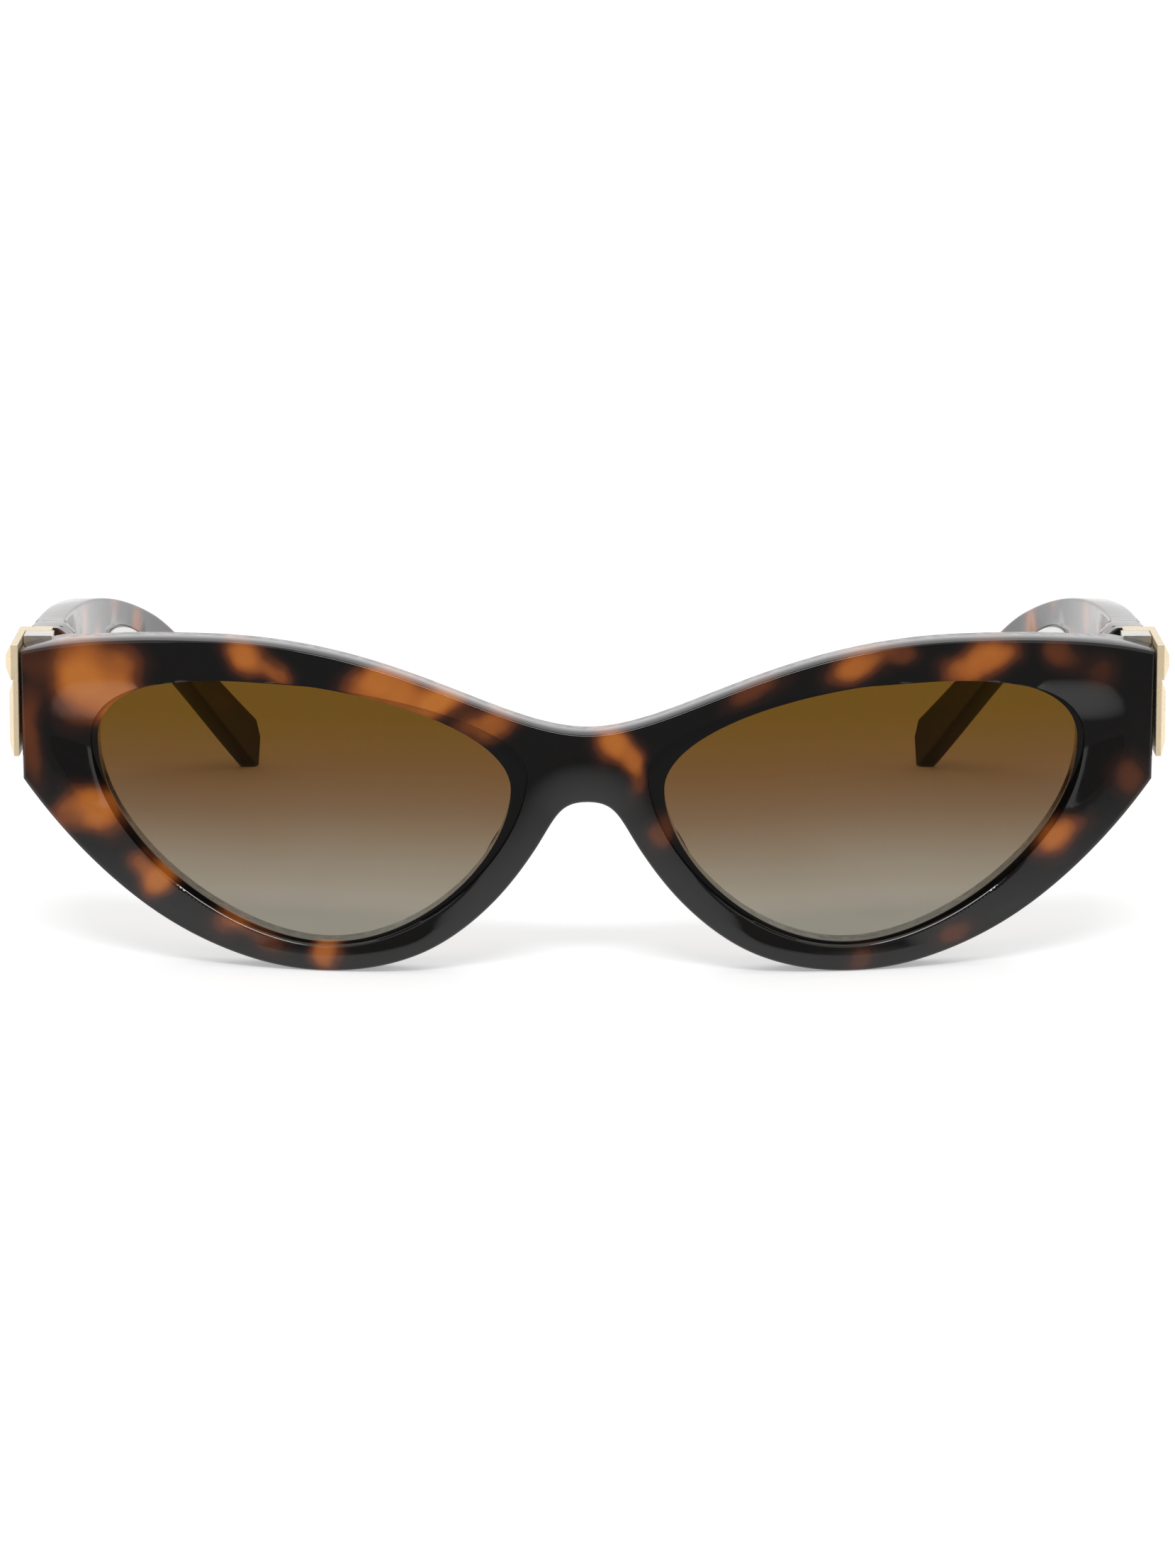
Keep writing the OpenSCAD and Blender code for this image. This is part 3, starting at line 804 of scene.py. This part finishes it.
LEG_IN = 70.85
LEG_OUT = 71.75
LEG_FRONT = 13.5
CAP_IN = 67.6
CAP_Y = 25.2
CAP_ROUND = 0.55
BRACKET_STEP_Z = 34.8
BRACKET_STEP = 0.25
STUD_RISE = 0.75
SCREW_Y = 31.2
SCREW_HEIGHTS = (28.2, 36.8)


def rounded_corner(x, y, r, from_angle, n=5):
    return [(x + r * math.cos(math.radians(from_angle + 90 * i / n)),
             y + r * math.sin(math.radians(from_angle + 90 * i / n))) for i in range(n + 1)]


def bracket_mesh():
    """The gold corner bracket: two stacked L shapes, each with a hipped outer face."""
    bm = bmesh.new()
    r = CAP_ROUND
    for z0, z1, out, rise, inset in (
        (BRACKET_LOW, BRACKET_STEP_Z, LEG_OUT - BRACKET_STEP, STUD_RISE - 0.1, 2.4),
        (BRACKET_STEP_Z, BRACKET_TOP, LEG_OUT, STUD_RISE, 2.1),
    ):
        plan = [(LEG_IN, LEG_FRONT), (out, LEG_FRONT), (out, TEMPLE_Y)]
        plan += rounded_corner(CAP_IN + r, TEMPLE_Y - r, r, 90)
        plan += rounded_corner(CAP_IN + r, CAP_Y + r, r, 180)
        plan += [(LEG_IN, CAP_Y)]
        faces = prism(bm, plan, z0, z1)
        bm.normal_update()
        outer = faces[3]
        bmesh.ops.inset_individual(bm, faces=[outer], thickness=inset * MM, depth=rise * MM)
    bmesh.ops.recalc_face_normals(bm, faces=bm.faces)
    bevelled(bm, turning(bm, 40), 0.09)
    mesh = bpy.data.meshes.new("bracket")
    bm.to_mesh(mesh)
    bm.free()
    return mesh


def mirror_mesh(mesh):
    bm = bmesh.new()
    bm.from_mesh(mesh)
    for v in bm.verts:
        v.co.x = -v.co.x
    bmesh.ops.reverse_faces(bm, faces=bm.faces)
    bm.to_mesh(mesh)
    bm.free()


def make_bracket(side, material):
    mesh = bracket_mesh()
    if side == "right":
        mirror_mesh(mesh)
    sharpen(mesh, 12)
    show(side + "_corner_bracket", mesh, material, arm(side), ["hinge_bracket_" + side])


def lathe(profile, origin, axis, n=32):
    """A turned solid: profile is (distance along axis, radius), from one pole to the other."""
    axis = np.array(axis, float)
    u = np.cross(axis, (0.3, 0.2, 1)) if abs(axis[2]) < 0.9 else np.cross(axis, (1, 0.2, 0))
    u /= np.linalg.norm(u)
    v = np.cross(axis, u)
    t = np.arange(n) * 2 * math.pi / n
    circle = np.cos(t)[:, None] * u + np.sin(t)[:, None] * v
    rows = [np.array(origin) + axis * s + circle * r for s, r in profile]
    points = np.concatenate(rows + [[np.array(origin) + axis * profile[0][0]],
                                    [np.array(origin) + axis * profile[-1][0]]])
    return points, tube_faces(len(profile), n)


def dome(r, rise, n=6):
    """The profile of a low domed head that faces -axis, from its pole to its rim."""
    return [(rise * (1 - math.cos(math.pi / 2 * i / n)), r * math.sin(math.pi / 2 * i / n) + 0.001)
            for i in range(n + 1)]


def merged(parts):
    points, faces, start = [], [], 0
    for p, f in parts:
        points.append(p)
        faces += [tuple(i + start for i in face) for face in f]
        start += len(p)
    return np.concatenate(points), faces


def make_bracket_screws(side, material):
    """The two screws that hold the bracket's tabs, with domed heads in the hinge boss."""
    parts = []
    for z in SCREW_HEIGHTS:
        profile = dome(0.85, 0.35) + [(0.7, 0.85), (0.75, 0.5), (4.6, 0.5), (4.8, 0.3)]
        parts.append(lathe(profile, (BOSS_IN - 0.25, SCREW_Y, z), (1, 0, 0)))
    points, faces = merged(parts)
    piece(side + "_bracket_screws", sided(side, points), faces, material, arm(side),
          ["bracket_screws_" + side])


# CAD nodes that keep their shape with softened edges: node, piece, edge width, slot and body
METAL_NODES = [
    ("front_leaf", "hinge_leaf_front", 0.14, "hinge_steel", "front"),
    ("leaf_rivets", "front_rivets", 0.1, "rivet_steel", "front"),
    ("hinge_washers", "washers", 0.04, "washer_brass", "front"),
    ("hinge_screw", "pivot_screw", 0.1, "screw_steel", "front"),
    ("temple_leaf", "hinge_leaf_temple", 0.12, "hinge_steel", "arm"),
    ("temple_rivets", "temple_rivet_pair", 0.1, "rivet_steel", "arm"),
]


def make_metalwork(side, materials):
    for node, label, width, slot, body in METAL_NODES:
        softened(side + "_" + label, node + "_" + side, width, materials[slot],
                 "front" if body == "front" else arm(side))
    make_bracket(side, materials["gold_metal"])
    make_bracket_screws(side, materials["screw_steel"])
    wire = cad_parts["core_wire_" + side]
    wire.data.materials.clear()
    wire.data.materials.append(materials["wire_steel"])


# ---- stage: floor, light and camera ----

def emitter(name, size, place, power):
    """A soft light in metres, aimed at the origin."""
    data = bpy.data.lights.new(name, "AREA")
    data.shape = "RECTANGLE"
    data.size, data.size_y = size
    data.energy = power
    obj = bpy.data.objects.new(name, data)
    bpy.context.scene.collection.objects.link(obj)
    obj.location = place
    obj.rotation_euler = (-Vector(place)).to_track_quat("-Z", "Y").to_euler()


def stage_plane(name, corners, material):
    mesh = bpy.data.meshes.new(name)
    mesh.from_pydata(corners, [], [(0, 1, 2, 3)])
    mesh.materials.append(material)
    obj = bpy.data.objects.new(name, mesh)
    bpy.context.scene.collection.objects.link(obj)
    return obj


def plain(name, colour, rough, glow):
    """A matt surface with a faint grain and a little light of its own."""
    g = Graph(name)
    grain = g.noise(g.millimetres(), 0.02, 2)
    tone = g.ramp(grain, [(0.3, tuple(0.985 * c for c in colour)), (0.7, colour)])
    return g.finish(g.principled(tone, rough, Emission_Color=(1, 1, 1, 1), Emission_Strength=glow))


def faded_card(start):
    """Dark grey that starts from nothing at start along y and fills in forward, slowly in front of the nose
    and past the lenses' outer ends, fast in front of the lower rims. Lengths in millimetres."""
    g = Graph("card_dark")
    where = g.millimetres()
    place = g.node("ShaderNodeSeparateXYZ")
    g.link(where, place.inputs[0])
    out = g.math("ABSOLUTE", place.outputs[0])
    slow = g.math("ADD", g.spread(out, 9, 24, 62, 8), g.spread(out, 45, 56, 0, 80))
    share = g.math("DIVIDE", g.math("SUBTRACT", start, place.outputs[1]), slow)
    tone = g.ramp(g.noise(where, 0.02, 2), [(0.3, (0.12, 0.12, 0.12)), (0.7, (0.135, 0.135, 0.135))])
    mix = g.node("ShaderNodeMixShader")
    g.link(g.spread(share, 0, 1), mix.inputs[0])
    g.link(g.node("ShaderNodeBsdfTransparent").outputs[0], mix.inputs[1])
    g.link(g.principled(tone, 0.9), mix.inputs[2])
    return g.finish(mix.outputs[0])


# Lengths on the stage are in metres
FLOOR_HALF = 4.0
CARD_NEAR = APEX_Y * MM - 0.001
CARD_FAR = APEX_Y * MM - 1.6
CARD_HALF = 1.2
CARD_Z = 0.0004
SCREEN_TOP = 0.85
DOME = 0.8
HORIZON = 1.02


def make_floor():
    f = FLOOR_HALF
    stage_plane("floor", [(-f, -f, 0), (f, -f, 0), (f, f, 0), (-f, f, 0)],
                plain("pale_floor", (0.78, 0.78, 0.78), 0.9, 0.33))


def make_dark_cards():
    """Dark cards in front, one on the floor and one upright behind the camera, seen only in
    reflections: they keep the polished face from greying."""
    dark = faded_card(CARD_NEAR / MM)
    left, right = -CARD_HALF, CARD_HALF
    near_edge = [(right, CARD_NEAR, CARD_Z), (left, CARD_NEAR, CARD_Z)]
    far_edge = [(left, CARD_FAR, CARD_Z), (right, CARD_FAR, CARD_Z)]
    top_edge = [(right, CARD_FAR, SCREEN_TOP), (left, CARD_FAR, SCREEN_TOP)]
    for name, corners in (("dark_card", far_edge + near_edge), ("dark_screen", far_edge + top_edge)):
        card = stage_plane(name, corners, dark)
        card.visible_camera = False
        card.visible_diffuse = False
        card.visible_shadow = False
        card.visible_transmission = False


def make_stage():
    make_floor()
    make_dark_cards()
    emitter("softbox_front", (0.7, 0.25), (0, -1.0, 1.1), 8)
    emitter("softbox_back", (1.2, 0.6), (0, 1.2, 1.4), 3)
    make_world()


def make_world():
    """An even pale dome, a little brighter towards the horizon so that the floor runs into it."""
    world = bpy.data.worlds.new("studio")
    bpy.context.scene.world = world
    world.use_nodes = True
    nodes, links = world.node_tree.nodes, world.node_tree.links
    background = nodes["Background"]
    up = nodes.new("ShaderNodeSeparateXYZ")
    links.new(nodes.new("ShaderNodeTexCoord").outputs["Generated"], up.inputs[0])
    strength = nodes.new("ShaderNodeMapRange")
    strength.interpolation_type = "SMOOTHSTEP"
    for socket, value in zip(("From Min", "From Max", "To Min", "To Max"), (0.12, 0.42, HORIZON, DOME)):
        strength.inputs[socket].default_value = value
    links.new(up.outputs[2], strength.inputs["Value"])
    background.inputs["Color"].default_value = (1, 1, 1, 1)
    links.new(strength.outputs["Result"], background.inputs["Strength"])


CAMERA_BACK = 800
CAMERA_Z = 170.9
AIM_Z = 24.2
FOCAL = 152.2


def make_camera():
    data = bpy.data.cameras.new("camera")
    data.lens = FOCAL
    data.sensor_width = 36
    data.clip_end = 20
    obj = bpy.data.objects.new("camera", data)
    bpy.context.scene.collection.objects.link(obj)
    place, aim = (Vector(p) for p in to_frame([(0, -CAMERA_BACK, CAMERA_Z), (0, 0, AIM_Z)]))
    obj.location = place
    obj.rotation_euler = (aim - place).to_track_quat("-Z", "Y").to_euler()
    bpy.context.scene.camera = obj
    bpy.context.scene.view_settings.view_transform = "Standard"


def make_object():
    steel = (0.78, 0.77, 0.75)
    materials = {
        "hinge_steel": metal("hinge_steel", (0.80, 0.765, 0.70), 0.32),
        "rivet_steel": metal("rivet_steel", steel, 0.2),
        "washer_brass": metal("washer_brass", (0.75, 0.6, 0.34), 0.3),
        "screw_steel": metal("screw_steel", steel, 0.18),
        "wire_steel": metal("wire_steel", (0.6, 0.6, 0.6), 0.35),
        "gold_metal": metal("gold_metal", (0.82, 0.67, 0.45), 0.3, 0.5),
        "polished_inlay": metal("polished_inlay", (0.62, 0.62, 0.61), 0.16),
    }
    acetate = make_front()
    lens = tinted_lens()
    for side, shift in (("left", 0), ("right", -4)):
        make_lens(side, lens)
        make_nose_pad(side, acetate)
        make_temple(side, tortoise("acetate_" + side, temple_patches(shift), "x"))
        make_inlay(side, materials["polished_inlay"])
        make_metalwork(side, materials)


make_camera()
make_stage()
make_object()
